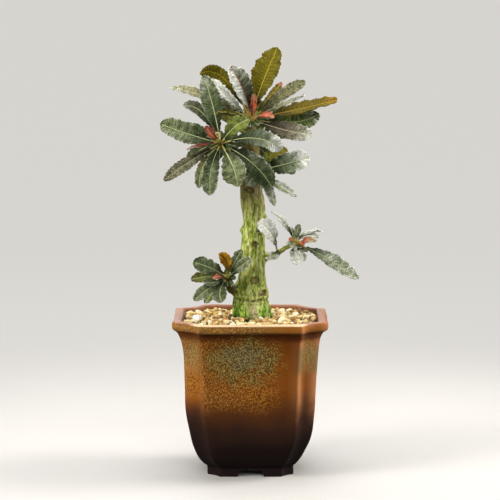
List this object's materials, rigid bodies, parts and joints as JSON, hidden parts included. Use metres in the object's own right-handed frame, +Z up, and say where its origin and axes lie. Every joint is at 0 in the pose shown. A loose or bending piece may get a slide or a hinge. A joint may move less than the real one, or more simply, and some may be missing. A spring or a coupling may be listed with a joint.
{
  "type": "potted boswellia nana",
  "caption": "Small caudex tree with a stout green stem, rosettes of long crenate grey-green leaves and young red leaves, in a glazed pot with indented corners.",
  "frame": {"origin": "centre of the object's box in plan, on the ground under the pot's feet; the pot's own axis is 6.0 mm to -X and 1.0 mm to -Y of it", "axes": "+Z up along the stem, +X to the viewer's right, +Y away from the viewer, the pot's sides square to X and Y"},
  "size_m": [0.1272, 0.102, 0.2761],
  "materials": {
    "glaze": "satin, speckled, darker toward the foot",
    "gravel": "matte",
    "bark": "semi-matte",
    "leaf": "matte, finely hairy",
    "young_leaf": "matte"
  },
  "bodies": {
    "root": {"pot": "glaze", "soil": "gravel", "trunk": "bark", "left_shoot": "leaf", "upper_shoot": "leaf", "right_shoot": "leaf", "back_shoot": "leaf", "side_shoot_left": "leaf", "side_branch_right": "leaf", "left_shoot_young": "young_leaf", "upper_shoot_young": "young_leaf", "side_shoot_left_young": "young_leaf", "side_branch_right_young": "young_leaf"}
  },
  "joints": []
}
